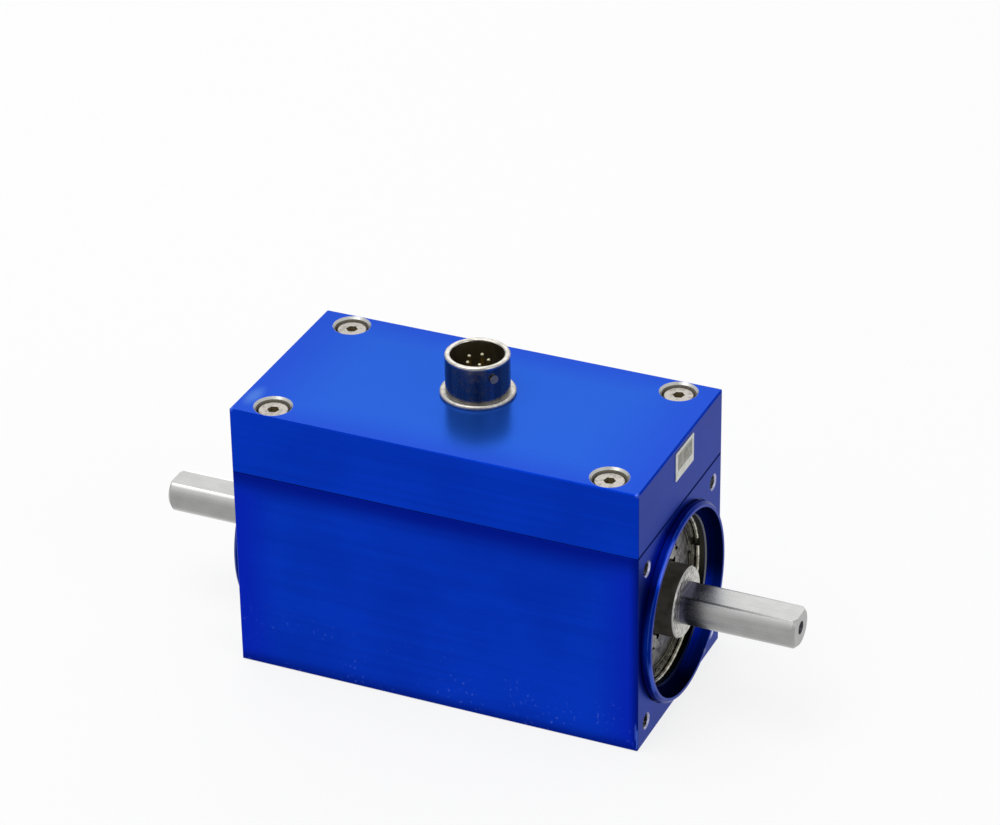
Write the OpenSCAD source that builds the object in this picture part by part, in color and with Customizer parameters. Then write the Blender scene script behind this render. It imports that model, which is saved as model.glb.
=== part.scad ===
// Rotary torque sensor: a square block with a lid, a shaft in two ball bearings and a bayonet connector.
// The shaft runs along X, the base lies on Z = 0 and the origin is the middle of the base.

/* [Housing block] */
// Length of the housing along the shaft
housing_len = 100; // [96:0.5:140]
// Width of the housing across the shaft
housing_w = 51; // [50.5:0.5:70]
// Height of the square lower block, with the shaft axis at half of it
block_h = 51; // [50.5:0.5:64]
// Radius of the upright corners
corner_r = 0.5; // [0.4:0.1:2]
// Chamfer along the outer level edges of the block and the lid
edge_chamfer = 0.3; // [0.1:0.05:0.6]
// Chamfer along the edges at the joint of the block and the lid
joint_chamfer = 0.04; // [0.02:0.01:0.3]

/* [Lid] */
// Height of the lid
lid_h = 16.4; // [16:0.1:26]
// Thickness of the lid's top wall
lid_top_t = 3.5; // [3:0.1:4.5]
// Thickness of the lid's side walls
lid_wall = 4; // [2.5:0.1:5]
// Thickness of the flat gasket under the lid
gasket_t = 0.2; // [0.1:0.1:0.8]
// How far the gasket's edge stays inside the housing's faces
gasket_inset = 0.1; // [0.1:0.1:1]

/* [Lid screws] */
// Nominal diameter of the lid screws
lid_screw_d = 4; // [3:0.5:4]
// Depth of the lid screws' thread in the block
lid_screw_grip = 7; // [5:0.5:9]
// Diameter of the low screw heads
lid_head_d = 7; // [6:0.5:7]
// Height of the low screw heads
lid_head_h = 2.8; // [2:0.1:4]
// Width across flats of the hexagon sockets
lid_socket_w = 2.5; // [2:0.5:3]
// How far the heads lie below the lid's top
lid_head_recess = 0.9; // [0.2:0.1:2]
// Room round a head in its counterbore
counterbore_clear = 0.5; // [0.2:0.1:0.6]
// Bare chamfer at the mouth of a counterbore
counterbore_chamfer = 0.5; // [0.2:0.1:0.6]
// Distance of the lid screws from the housing's ends
lid_screw_inset_x = 8.8; // [8:0.1:11]
// Distance of the lid screws from the housing's sides
lid_screw_inset_y = 4.9; // [4.9:0.1:6.5]

/* [End faces] */
// Diameter of the centring spigots
spigot_d = 47; // [46:0.1:47.4]
// How far the spigots stand out of the end faces
spigot_len = 2.1; // [1.5:0.1:4]
// Chamfer on the outer edge of a spigot's rim
spigot_chamfer = 0.6; // [0.2:0.1:0.7]
// Diameter of the turned mouth inside a spigot
mouth_d = 44.4; // [43:0.1:44.8]
// Depth of the mouth behind the spigot's rim
mouth_depth = 3.4; // [2.5:0.1:5]
// Chamfer on the inner edge of a spigot's rim
mouth_chamfer = 0.1; // [0.05:0.05:0.3]
// Bare chamfer between the mouth's floor and the bearing seat
seat_chamfer = 0.3; // [0.2:0.1:0.7]
// Width of the relief groove round a spigot
relief_w = 0.3; // [0.2:0.1:1.4]
// Depth of the relief groove
relief_depth = 0.4; // [0.2:0.1:1]
// How far the relief groove cuts in under the spigot
relief_undercut = 0.3; // [0.1:0.1:0.5]
// Spacing of the threaded holes in an end face, both ways
bolt_pitch = 40.5; // [40:0.5:42]
// Nominal diameter of the threaded holes, to which the left end's are drawn
bolt_d = 4; // [3:0.5:4]
// Tapping diameter of the threaded holes, to which the right end's are drawn, as a share of the nominal one
tapping_share = 0.825; // [0.8:0.005:0.85]
// Depth of the threaded holes
bolt_depth = 5.5; // [4:0.1:5.5]
// Countersink at the mouth of a threaded hole
bolt_sink = 0.4; // [0.2:0.1:0.6]

/* [Bearings] */
// Bore of the bearings, also the journal diameter
bearing_id = 17; // [16:0.5:18]
// Outside diameter of the bearings, also the seat diameter
bearing_od = 40; // [39:0.5:40.5]
// Width of the bearings
bearing_w = 12; // [11.5:0.5:14]
// Distance from the mouth's floor to the bearing's face
bearing_setback = 2.6; // [1.8:0.1:3]
// Height of the shoulder behind the outer ring
seat_shoulder = 2; // [1.5:0.1:2.5]
// Diameter of the balls
ball_d = 6.75; // [6:0.05:7]
// Number of balls in each bearing
ball_count = 8; // [6:1:8]
// Play between a ball and the raceways
ball_play = 0.025; // [0.01:0.005:0.05]
// Distance from the pitch circle to the lands of the rings
land_offset = 2.1; // [1.8:0.05:2.3]
// Edge chamfer of the bearing rings
ring_chamfer = 0.5; // [0.3:0.1:0.8]
// Wall of the cage on each side of the pitch circle
cage_wall = 1.2; // [0.9:0.1:1.4]
// Play of the balls in the cage's pockets
pocket_play = 0.1; // [0.05:0.05:0.2]
// Thickness of the shields
shield_t = 0.35; // [0.2:0.05:0.5]
// Gap between a shield and the inner ring
shield_gap = 0.3; // [0.2:0.05:0.6]
// Diameter of the wire that holds a shield
shield_wire_d = 0.4; // [0.3:0.05:0.5]
// Diameter of the wire ring that holds a bearing in the block
retainer_wire_d = 1; // [0.8:0.1:1.1]
// Width of the gap in a wire ring
wire_gap = 2.4; // [1:0.1:5]

/* [Shaft] */
// Overall length of the shaft
shaft_len = 158.5; // [140:0.5:200]
// Diameter of the shaft ends
shaft_d = 10; // [8:0.5:14]
// Height of the milled flat above the shaft's axis, as a share of the end's radius
flat_share = 0.72; // [0.71:0.01:0.95]
// Chamfer on the shaft ends
shaft_chamfer = 0.8; // [0.3:0.1:1.2]
// How far the journal's face lies inside the spigot's rim
journal_recess = 0.4; // [0:0.1:1.5]
// Chamfer on the journal's edge
journal_chamfer = 0.35; // [0.1:0.05:0.8]
// Mouth diameter of the centre holes
centre_d = 3.2; // [2:0.1:4]
// Diameter of the thick part between the bearings
core_d = 21; // [20:0.5:22]
// Diameter of the thin measuring part
torsion_d = 12; // [8:0.5:16]
// Length of the thin measuring part
torsion_len = 20; // [14:0.5:22]
// Radius at the ends of the thin measuring part
torsion_fillet = 2; // [0.5:0.1:2]

/* [Gauges and coils] */
// Length and width of a strain gauge
gauge_size = 6; // [3:0.5:7]
// Thickness of a strain gauge
gauge_t = 0.12; // [0.08:0.01:0.3]
// Distance of the coils from the middle of the shaft
coil_x = 21; // [20:0.5:24]
// Width of the coil carriers
coil_w = 14; // [12:0.5:15]
// Width of the windings
winding_w = 10; // [6:0.5:11]
// Radial thickness of the windings
winding_t = 1.6; // [1:0.1:1.8]
// Radial wall of the fixed coil's carrier outside its winding
stator_wall = 1.1; // [0.8:0.1:1.5]
// Radial wall of the rotating coil's carrier inside its winding
rotor_wall = 0.45; // [0.3:0.05:1.4]
// Air gap between the fixed and the rotating coil
air_gap = 0.7; // [0.4:0.1:1]
// Thickness of the circuit boards
board_t = 1.6; // [1:0.1:2]
// Gap between the rotating board's rim and the block
rotor_board_gap = 2; // [1:0.1:3]
// Fit of parts that are pressed or glued in place
seat_fit = 0.02; // [0.01:0.01:0.05]

/* [Connector] */
// Place of the connector along the lid
connector_x = -0.9; // [-10:0.1:10]
// Place of the connector across the lid
connector_y = 3; // [-6:0.1:6]
// Outside diameter of the barrel
barrel_d = 15; // [14:0.1:18]
// Inside diameter of the barrel
barrel_bore = 12.4; // [12:0.1:12.8]
// Height of the barrel above its flange
barrel_h = 9.2; // [8:0.1:14]
// Diameter of the base flange
flange_d = 17.6; // [17.2:0.1:22]
// Thickness of the base flange, whose edge is rounded
flange_t = 1; // [0.8:0.1:2]
// Diameter of the stem through the lid
stem_d = 12.6; // [12:0.1:12.8]
// Play of the stem in the lid
stem_play = 0.1; // [0.05:0.05:0.2]
// Depth of the insert's face below the barrel's rim
socket_depth = 6.5; // [5:0.1:7]
// Diameter of the insert below the barrel
insert_d = 10.6; // [10:0.1:11]
// Diameter of the contact pins
pin_d = 1; // [0.6:0.1:1.4]
// Number of contact pins
pin_count = 5; // [3:1:7]
// Diameter of the circle on which the pins stand
pin_circle_d = 5.1; // [4.5:0.1:7.4]
// Depth of the pin tips below the barrel's rim
pin_depth = 1.4; // [1:0.1:3]
// Length of the pin tails below the stem
pin_tail = 1.2; // [0.5:0.1:1.5]
// Diameter of the bayonet studs
stud_d = 2; // [1.2:0.1:2.4]
// How far the bayonet studs stand out of the barrel
stud_h = 0.6; // [0.4:0.1:1.2]
// Depth of the studs' axis below the barrel's rim
stud_depth = 3.1; // [2:0.1:5]
// Direction of the first stud, in degrees
stud_angle = -38; // [-90:1:90]
// Width of the key inside the barrel
key_w = 1.4; // [0.8:0.1:2]
// Height of the key inside the barrel
key_h = 0.7; // [0.4:0.1:0.9]
// Width across flats of the nut under the lid
nut_w = 17; // [16:0.5:19]
// Thickness of the nut
nut_t = 2.5; // [2:0.1:3]
// Diameter of the cord of the sealing ring under the flange
oring_d = 1; // [0.8:0.05:1.1]

/* [Main board] */
// Height of the spacers under the main board
spacer_h = 4; // [3:0.1:4.5]
// Diameter of the spacers
spacer_d = 5; // [4.5:0.1:6]
// Diameter of the board screws
board_screw_d = 2.5; // [2:0.5:3]
// Depth of the board screws in the block
board_screw_grip = 5; // [3:0.5:7]
// Room between the board's edge and the lid's pocket
board_clear = 2.5; // [1:0.1:4]
// Distance of the board screws from the board's edges
board_screw_inset = 3.5; // [3.2:0.1:5]
// Height of the parts on the main board
part_h = 1.8; // [1:0.1:2]
// Diameter of the wires inside
wire_d = 0.8; // [0.4:0.1:0.9]

/* [Label] */
// Width of the label on the lid's right end
label_w = 10.8; // [6:0.1:20]
// Height of the label
label_h = 7.2; // [4:0.1:9]
// Thickness of the label
label_t = 0.15; // [0.1:0.05:0.3]
// Place of the label's middle across the lid
label_y = 1.9; // [-10:0.1:10]
// Distance of the label's middle below the lid's top
label_drop = 5.2; // [4.8:0.1:8]

/* [Hidden] */
$fn = 64;

// Overlap by which a cutter runs past the surface that it cuts
past = 1;
// Heights of the lid's underside and top
axis_h = block_h / 2;
lid_z = block_h + gasket_t;
top_z = lid_z + lid_h;
// Stations along the shaft, counted from the middle
end_x = housing_len / 2;
rim_x = end_x + spigot_len;
mouth_x = rim_x - mouth_depth;
bearing_face = mouth_x - bearing_setback;
bearing_back = bearing_face - bearing_w;
bearing_mid = (bearing_face + bearing_back) / 2;
journal_x = rim_x - journal_recess;
shaft_end = shaft_len / 2;
// Radii about the shaft
spigot_r = spigot_d / 2;
mouth_r = mouth_d / 2;
seat_r = bearing_od / 2 + seat_fit;
cavity_r = seat_r - seat_shoulder;
pitch_r = (bearing_od + bearing_id) / 4;
inner_land = pitch_r - land_offset;
outer_land = pitch_r + land_offset;
recess_r = outer_land + 2 * shield_wire_d;
recess_depth = shield_t + 1.5 * shield_wire_d;
core_r = core_d / 2;
shaft_r = shaft_d / 2;
stator_out = cavity_r - seat_fit;
stator_groove = stator_out - stator_wall;
stator_in = stator_groove - winding_t;
rotor_out = stator_in - air_gap;
rotor_groove = rotor_out - winding_t;
rotor_bore = rotor_groove - rotor_wall;
// Lid screws and their counterbores
lid_screw_x = end_x - lid_screw_inset_x;
lid_screw_y = housing_w / 2 - lid_screw_inset_y;
counterbore_r = lid_head_d / 2 + counterbore_clear;
head_seat_z = top_z - lid_head_recess - lid_head_h;
screw_fit = 0.05;
boss_r = counterbore_r + 1.5;
// Pocket of the lid: a long narrow part and a short wide part, with the screw bosses in the corners
pocket_h = lid_h - lid_top_t;
pocket_long = [housing_len - 2 * lid_wall, 2 * (lid_screw_y - boss_r)];
pocket_wide = [2 * (lid_screw_x - boss_r), housing_w - 2 * lid_wall];
pocket_r = 2;
// Main board
board_l = pocket_wide[0] - 2 * board_clear;
board_w = pocket_wide[1] - 2 * board_clear;
board_z = block_h + spacer_h;
board_top = board_z + board_t;
board_screw_x = board_l / 2 - board_screw_inset;
board_screw_y = board_w / 2 - board_screw_inset;
board_head_d = 1.8 * board_screw_d;
// Connector
rim_z = top_z + flange_t + barrel_h;
socket_z = rim_z - socket_depth;
stem_z = top_z - lid_top_t - nut_t - 1;
tail_z = stem_z - pin_tail;
ledge_t = 1.5;
lip_r = (barrel_d - barrel_bore) / 6;
oring_r = (stem_d + flange_d) / 4;
pin_angle = 17;
key_angle = 250;
// Slot that leads the wires up from the fixed coil
slot_l = coil_w - 2;
slot_w = 8;
lead_y = 2;

// Points of a round stretch from angle a to angle b
function arc(centre, r, a, b, steps = 6) =
    [for (i = [0:steps]) centre + r * [cos(a + (b - a) * i / steps), sin(a + (b - a) * i / steps)]];

// Outline in plan of a rectangle with round corners
module rounded_plan(size, r) {
    square([size[0] - 2 * r, size[1]], center = true);
    square([size[0], size[1] - 2 * r], center = true);
    for (x = [-1, 1], y = [-1, 1])
        translate([x * (size[0] / 2 - r), y * (size[1] / 2 - r)])
            circle(r);
}

// Section of a bar with its lower and upper edges chamfered, standing on its lower side
module edged_section(w, h, low, high) {
    polygon([
        [-w / 2 + low, 0], [w / 2 - low, 0], [w / 2, low], [w / 2, h - high],
        [w / 2 - high, h], [-w / 2 + high, h], [-w / 2, h - high], [-w / 2, low]
    ]);
}

// Block of the housing's plan with round upright corners and chamfered level edges
module edged_block(h, low, high) {
    intersection() {
        linear_extrude(h)
            rounded_plan([housing_len, housing_w], corner_r);
        rotate([90, 0, 90])
            linear_extrude(housing_len + 2 * past, center = true)
                edged_section(housing_w, h, low, high);
        rotate([90, 0, 0])
            linear_extrude(housing_w + 2 * past, center = true)
                edged_section(housing_len, h, low, high);
    }
}

// Solid of revolution about the shaft, from a profile of [radius, station]
module turned(profile) {
    translate([0, 0, axis_h])
        rotate([0, 90, 0])
            rotate_extrude()
                polygon(profile);
}

// Ring of a rectangular section about the shaft
module turned_ring(r_in, r_out, x_from, x_to) {
    turned([[r_in, x_from], [r_out, x_from], [r_out, x_to], [r_in, x_to]]);
}

// Ring of a round section about the shaft
module round_ring(r, x, section_r) {
    translate([x, 0, axis_h])
        rotate([0, 90, 0])
            rotate_extrude()
                translate([r, 0])
                    circle(section_r, $fn = 32);
}

// What is on the right side stays, and what is on the left side is mirrored
module on_side(side) {
    if (side > 0)
        children();
    else
        mirror([1, 0, 0])
            children();
}

// The four places of the lid screws
module at_lid_screws() {
    for (x = [-1, 1], y = [-1, 1])
        translate([x * lid_screw_x, y * lid_screw_y, 0])
            children();
}

// The four places of the board screws
module at_board_screws() {
    for (x = [-1, 1], y = [-1, 1])
        translate([x * board_screw_x, y * board_screw_y, 0])
            children();
}

// The places of the connector pins
module at_pins() {
    for (i = [0:pin_count - 1])
        translate([connector_x, connector_y, 0])
            rotate(pin_angle + i * 360 / pin_count)
                translate([pin_circle_d / 2, 0, 0])
                    children();
}

// Threaded hole into an end face with its countersink, from the face inwards along -X
module end_hole(d) {
    rotate([0, -90, 0])
        cylinder(d = d, h = bolt_depth);
    translate([bolt_sink, 0, 0])
        rotate([0, -90, 0])
            cylinder(r1 = d / 2 + 2 * bolt_sink, r2 = d / 2, h = 2 * bolt_sink);
}

// Turned inside of the housing block, from mouth to mouth
module bore_cutter() {
    half = [
        [cavity_r, bearing_back], [seat_r, bearing_back], [seat_r, mouth_x - seat_chamfer],
        [seat_r + seat_chamfer, mouth_x], [mouth_r, mouth_x], [mouth_r, rim_x - mouth_chamfer],
        [mouth_r + mouth_chamfer + past, rim_x + past], [0, rim_x + past]
    ];
    mirrored = [for (i = [len(half) - 1:-1:0]) [half[i][0], -half[i][1]]];
    turned(concat(mirrored, half));
}

// Centring spigot on the right end, rooted in the block
module spigot() {
    turned([
        [mouth_r, end_x - past], [spigot_r, end_x - past], [spigot_r, rim_x - spigot_chamfer],
        [spigot_r - spigot_chamfer, rim_x], [mouth_r, rim_x]
    ]);
}

module housing_body() {
    color("mediumblue")
        difference() {
            union() {
                edged_block(block_h, edge_chamfer, joint_chamfer);
                for (side = [-1, 1])
                    on_side(side) spigot();
            }
            bore_cutter();
            for (side = [-1, 1])
                on_side(side) {
                    turned_ring(spigot_r - relief_undercut, spigot_r + relief_w, end_x - relief_depth, end_x);
                    round_ring(seat_r, bearing_face + retainer_wire_d / 2, retainer_wire_d / 2 + seat_fit);
                    for (y = [-1, 1], z = [-1, 1])
                        translate([end_x, y * bolt_pitch / 2, axis_h + z * bolt_pitch / 2])
                            end_hole(side > 0 ? bolt_d * tapping_share : bolt_d);
                }
            at_lid_screws()
                translate([0, 0, block_h - lid_screw_grip - 0.5])
                    cylinder(d = lid_screw_d, h = lid_screw_grip + past);
            at_board_screws()
                translate([0, 0, block_h - board_screw_grip - 0.5])
                    cylinder(d = board_screw_d, h = board_screw_grip + past);
            translate([coil_x, 0, axis_h])
                linear_extrude(block_h)
                    rounded_plan([slot_l, slot_w], slot_w / 2 - 0.5);
        }
}

// Cross-shaped plan of the lid's pocket
module pocket_plan() {
    rounded_plan(pocket_long, pocket_r);
    rounded_plan(pocket_wide, pocket_r);
}

module lid() {
    color("royalblue")
        difference() {
            translate([0, 0, lid_z])
                edged_block(lid_h, joint_chamfer, edge_chamfer);
            translate([0, 0, lid_z - past])
                linear_extrude(pocket_h + past)
                    pocket_plan();
            at_lid_screws() {
                translate([0, 0, lid_z - past])
                    cylinder(d = lid_screw_d + 0.5, h = lid_h + 2 * past);
                translate([0, 0, head_seat_z])
                    cylinder(r = counterbore_r, h = lid_h);
                translate([0, 0, top_z - counterbore_chamfer])
                    cylinder(r1 = counterbore_r, r2 = counterbore_r + 2 * counterbore_chamfer,
                        h = 2 * counterbore_chamfer);
            }
            translate([connector_x, connector_y, 0]) {
                translate([0, 0, lid_z])
                    cylinder(d = stem_d + 2 * stem_play, h = lid_h + past);
                translate([0, 0, top_z - oring_d])
                    difference() {
                        cylinder(r = oring_r + oring_d / 2 + screw_fit, h = oring_d + past);
                        cylinder(r = oring_r - oring_d / 2 - screw_fit, h = oring_d + past);
                    }
            }
        }
}

module lid_gasket() {
    color("black")
        translate([0, 0, block_h])
            linear_extrude(gasket_t)
                difference() {
                    rounded_plan([housing_len, housing_w] - 2 * gasket_inset * [1, 1], corner_r);
                    pocket_plan();
                    for (x = [-1, 1], y = [-1, 1])
                        translate([x * lid_screw_x, y * lid_screw_y])
                            circle(d = lid_screw_d + 0.5);
                }
}

// Low-head socket screw with its head's seat on Z = 0
module socket_screw(d, grip, head_d, head_h, socket_w) {
    difference() {
        union() {
            rotate_extrude()
                polygon(concat(
                    [[0, 0], [head_d / 2, 0]],
                    arc([head_d / 2 - head_h / 9, head_h * 8 / 9], head_h / 9, 0, 90),
                    [[0, head_h]]
                ));
            translate([0, 0, -grip])
                cylinder(d = d - 2 * screw_fit, h = grip + head_h / 4);
        }
        translate([0, 0, head_h * 0.4])
            rotate(15)
                cylinder(d = socket_w / cos(30), h = head_h, $fn = 6);
    }
}

module lid_screws() {
    color("gainsboro")
        at_lid_screws()
            translate([0, 0, head_seat_z])
                socket_screw(lid_screw_d, head_seat_z - block_h + lid_screw_grip,
                    lid_head_d, lid_head_h, lid_socket_w);
}

module label() {
    color("whitesmoke")
        translate([end_x, label_y, top_z - label_drop])
            rotate([90, 0, 90])
                linear_extrude(label_t)
                    rounded_plan([label_w, label_h], 0.3);
}

// Turned body of the connector: flange with a rounded edge, barrel with a rounded lip and stem
module connector_turning() {
    barrel_r = barrel_d / 2;
    bore_r = barrel_bore / 2;
    flange_r = flange_d / 2;
    bead_r = flange_t * 0.6;
    foot_r = flange_t * 0.2;
    rotate_extrude()
        polygon(concat(
            [[insert_d / 2 + seat_fit, stem_z], [stem_d / 2, stem_z], [stem_d / 2, top_z]],
            arc([flange_r - foot_r, top_z + foot_r], foot_r, -90, 0),
            arc([flange_r - bead_r, top_z + flange_t - bead_r], bead_r, 0, 90, 9),
            [[barrel_r, top_z + flange_t]],
            arc([barrel_r - lip_r, rim_z - lip_r], lip_r, 0, 90),
            arc([bore_r + lip_r, rim_z - lip_r], lip_r, 90, 180),
            [[bore_r, socket_z - ledge_t], [insert_d / 2 + seat_fit, socket_z - ledge_t]]
        ));
}

module connector_shell() {
    color("silver")
        translate([connector_x, connector_y, 0]) {
            connector_turning();
            for (turn = [0, 180])
                rotate(stud_angle + turn)
                    translate([barrel_bore / 2 + 0.3, 0, rim_z - stud_depth])
                        rotate([0, 90, 0])
                            cylinder(d = stud_d, h = (barrel_d - barrel_bore) / 2 - 0.3 + stud_h);
            rotate(key_angle)
                translate([barrel_bore / 2 - key_h, -key_w / 2, socket_z + 0.2])
                    cube([key_h + 0.3, key_w, socket_depth - 1.2]);
        }
}

module connector_insert() {
    color("#2b2a26")
        difference() {
            translate([connector_x, connector_y, 0]) {
                translate([0, 0, stem_z + 0.5])
                    cylinder(d = insert_d, h = socket_z - stem_z - 0.5);
                translate([0, 0, socket_z - ledge_t])
                    cylinder(d = barrel_bore - 2 * seat_fit, h = ledge_t);
            }
            at_pins()
                translate([0, 0, stem_z])
                    cylinder(d = pin_d + 2 * seat_fit, h = socket_z - stem_z + past);
        }
}

module connector_pins() {
    tip_z = rim_z - pin_depth - pin_d / 2;
    color("gold")
        at_pins() {
            translate([0, 0, tail_z])
                cylinder(d = pin_d, h = tip_z - tail_z);
            translate([0, 0, tip_z])
                sphere(d = pin_d);
        }
}

module connector_nut() {
    color("silver")
        translate([connector_x, connector_y, top_z - lid_top_t - nut_t])
            difference() {
                cylinder(d = nut_w / cos(30), h = nut_t, $fn = 6);
                translate([0, 0, -past])
                    cylinder(d = stem_d + 2 * seat_fit, h = nut_t + 2 * past);
            }
}

module connector_oring() {
    color("#202020")
        translate([connector_x, connector_y, top_z - oring_d / 2])
            rotate_extrude()
                translate([oring_r, 0])
                    circle(d = oring_d, $fn = 32);
}

module connector_leads() {
    color("firebrick")
        at_pins()
            translate([0, 0, board_top])
                cylinder(d = wire_d, h = tail_z - board_top);
}

module main_board() {
    color("darkgreen")
        translate([0, 0, board_z])
            linear_extrude(board_t)
                difference() {
                    rounded_plan([board_l, board_w], pocket_r);
                    for (x = [-1, 1], y = [-1, 1])
                        translate([x * board_screw_x, y * board_screw_y])
                            circle(d = board_screw_d + 0.2);
                }
}

// Chips in a row along the board, and two round parts at its ends
module board_components() {
    chip = [8, 5];
    color("#303030")
        translate([0, 0, board_top]) {
            for (i = [-1, 1], j = [-1, 1])
                translate([i * board_l / 5, j * board_w / 3, 0])
                    linear_extrude(part_h)
                        square(chip, center = true);
            for (i = [-1, 1])
                translate([i * board_l * 0.4, 0, 0])
                    cylinder(d = chip[1], h = part_h);
        }
}

module board_spacers() {
    color("goldenrod")
        at_board_screws()
            translate([0, 0, block_h])
                difference() {
                    cylinder(d = spacer_d, h = spacer_h);
                    translate([0, 0, -past])
                        cylinder(d = board_screw_d + 0.2, h = spacer_h + 2 * past);
                }
}

module board_screws() {
    color("silver")
        at_board_screws()
            translate([0, 0, board_top])
                socket_screw(board_screw_d, board_top - block_h + board_screw_grip,
                    board_head_d, part_h, board_screw_d * 0.6);
}

module stator_carrier() {
    color("ivory")
        difference() {
            turned([
                [stator_in, coil_x - coil_w / 2], [stator_out, coil_x - coil_w / 2],
                [stator_out, coil_x + coil_w / 2], [stator_in, coil_x + coil_w / 2],
                [stator_in, coil_x + winding_w / 2], [stator_groove, coil_x + winding_w / 2],
                [stator_groove, coil_x - winding_w / 2], [stator_in, coil_x - winding_w / 2]
            ]);
            for (y = [-1, 1])
                translate([coil_x, y * lead_y, axis_h])
                    cylinder(d = wire_d + 2 * seat_fit, h = stator_out + past);
        }
}

module stator_winding() {
    color("sienna")
        turned_ring(stator_in + winding_t * 0.1, stator_groove - seat_fit,
            coil_x - winding_w / 2 + seat_fit, coil_x + winding_w / 2 - seat_fit);
}

module stator_leads() {
    lead_z = axis_h + stator_groove;
    color("firebrick")
        for (y = [-1, 1])
            translate([coil_x, y * lead_y, lead_z])
                cylinder(d = wire_d, h = board_z - lead_z);
}

// Right half of the shaft's outline, from the middle outwards
function shaft_half() = concat(
    [[torsion_d / 2, 0]],
    arc([torsion_d / 2 + torsion_fillet, torsion_len / 2 - torsion_fillet], torsion_fillet, 180, 90),
    [
        [core_r, torsion_len / 2], [core_r, bearing_back], [bearing_id / 2 - seat_fit, bearing_back],
        [bearing_id / 2 - seat_fit, journal_x - journal_chamfer],
        [bearing_id / 2 - seat_fit - journal_chamfer, journal_x], [shaft_r, journal_x],
        [shaft_r, shaft_end - shaft_chamfer], [shaft_r - shaft_chamfer, shaft_end], [0, shaft_end]
    ]
);

// Centre hole in the right end: a cone of 60 degrees and a short drilled hole
module centre_hole() {
    cone_h = centre_d / 4 / tan(30);
    translate([shaft_end, 0, axis_h])
        rotate([0, -90, 0]) {
            translate([0, 0, -cone_h])
                cylinder(d1 = centre_d * 1.5, d2 = centre_d / 2, h = 2 * cone_h);
            cylinder(d = centre_d / 2, h = 2 * cone_h + centre_d / 2);
        }
}

// Cutter for the milled flat on the right end, which runs from the journal's face to the end
module flat_cutter() {
    translate([journal_x, -shaft_d, axis_h + flat_share * shaft_r])
        cube([shaft_end - journal_x + past, 2 * shaft_d, shaft_d]);
}

module torsion_shaft() {
    half = shaft_half();
    color("lightgray")
        difference() {
            union() {
                turned(concat([for (i = [len(half) - 1:-1:1]) [half[i][0], -half[i][1]]], half));
                turned_ring(core_r - past, rotor_bore - seat_fit, coil_x - coil_w / 2, coil_x + coil_w / 2);
            }
            for (side = [-1, 1])
                on_side(side) {
                    flat_cutter();
                    centre_hole();
                }
        }
}

// Four foil patches round the thin part of the shaft
module strain_gauges() {
    color("peru")
        for (turn = [0:90:270])
            translate([0, 0, axis_h])
                rotate([turn, 0, 0])
                    intersection() {
                        translate([0, 0, -axis_h])
                            turned_ring(torsion_d / 2, torsion_d / 2 + gauge_t, -gauge_size / 2, gauge_size / 2);
                        translate([0, 0, torsion_d / 2])
                            cube([gauge_size, gauge_size, torsion_d], center = true);
                    }
}

module rotor_carrier() {
    color("ivory")
        turned([
            [rotor_bore, coil_x - coil_w / 2], [rotor_out, coil_x - coil_w / 2],
            [rotor_out, coil_x - winding_w / 2], [rotor_groove, coil_x - winding_w / 2],
            [rotor_groove, coil_x + winding_w / 2], [rotor_out, coil_x + winding_w / 2],
            [rotor_out, coil_x + coil_w / 2], [rotor_bore, coil_x + coil_w / 2]
        ]);
}

module rotor_winding() {
    color("sienna")
        turned_ring(rotor_groove + seat_fit, rotor_out - winding_t * 0.1,
            coil_x - winding_w / 2 + seat_fit, coil_x + winding_w / 2 - seat_fit);
}

// Ring-shaped board on the shaft with three chips on its face
module rotor_board() {
    rim = cavity_r - rotor_board_gap;
    color("darkgreen")
        turned_ring(core_r + seat_fit, rim, -coil_x, -coil_x + board_t);
    color("#303030")
        for (turn = [0:120:240])
            translate([-coil_x + board_t, 0, axis_h])
                rotate([turn, 0, 0])
                    translate([-board_t / 2, -2, (core_r + rim) / 2 - 1.5])
                        cube([board_t / 2 + part_h, 4, 3]);
}

// Cutter for the gap in a wire ring of the right side, a little above the level of the axis at the back
module wire_gap_cutter(x, r) {
    translate([x, 0, axis_h])
        rotate([12, 0, 0])
            translate([-past, r - 2, -wire_gap / 2])
                cube([2 * past, 4, wire_gap]);
}

// Split wire ring of the right side, with its round section in a groove
module split_wire(r, x, d) {
    difference() {
        round_ring(r, x, d / 2);
        wire_gap_cutter(x, r);
    }
}

module bearing_retainers() {
    color("silver")
        for (side = [-1, 1])
            on_side(side)
                split_wire(seat_r, bearing_face + retainer_wire_d / 2, retainer_wire_d);
}

// Raceway of round section, cut into a ring from the side of the balls
module raceway(shift) {
    round_ring(pitch_r + shift, bearing_mid, ball_d / 2 + ball_play + abs(shift));
}

// Bearing rings of the right side
module outer_ring() {
    r = bearing_od / 2;
    c = ring_chamfer;
    color("silver")
        difference() {
            turned([
                [recess_r, bearing_back], [r - c, bearing_back], [r, bearing_back + c],
                [r, bearing_face - c], [r - c, bearing_face], [recess_r, bearing_face],
                [recess_r, bearing_face - recess_depth], [outer_land, bearing_face - recess_depth],
                [outer_land, bearing_back + recess_depth], [recess_r, bearing_back + recess_depth]
            ]);
            raceway(-2 * ball_play);
        }
}

module inner_ring() {
    r = bearing_id / 2;
    c = ring_chamfer;
    color("silver")
        difference() {
            turned([
                [r + c, bearing_back], [inner_land, bearing_back], [inner_land, bearing_face],
                [r + c, bearing_face], [r, bearing_face - c], [r, bearing_back + c]
            ]);
            raceway(2 * ball_play);
        }
}

// The places of the balls of the right bearing
module at_balls() {
    for (i = [0:ball_count - 1])
        translate([bearing_mid, 0, axis_h])
            rotate([i * 360 / ball_count, 0, 0])
                translate([0, 0, pitch_r])
                    children();
}

module balls() {
    color("lightgray")
        at_balls()
            sphere(d = ball_d);
}

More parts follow.
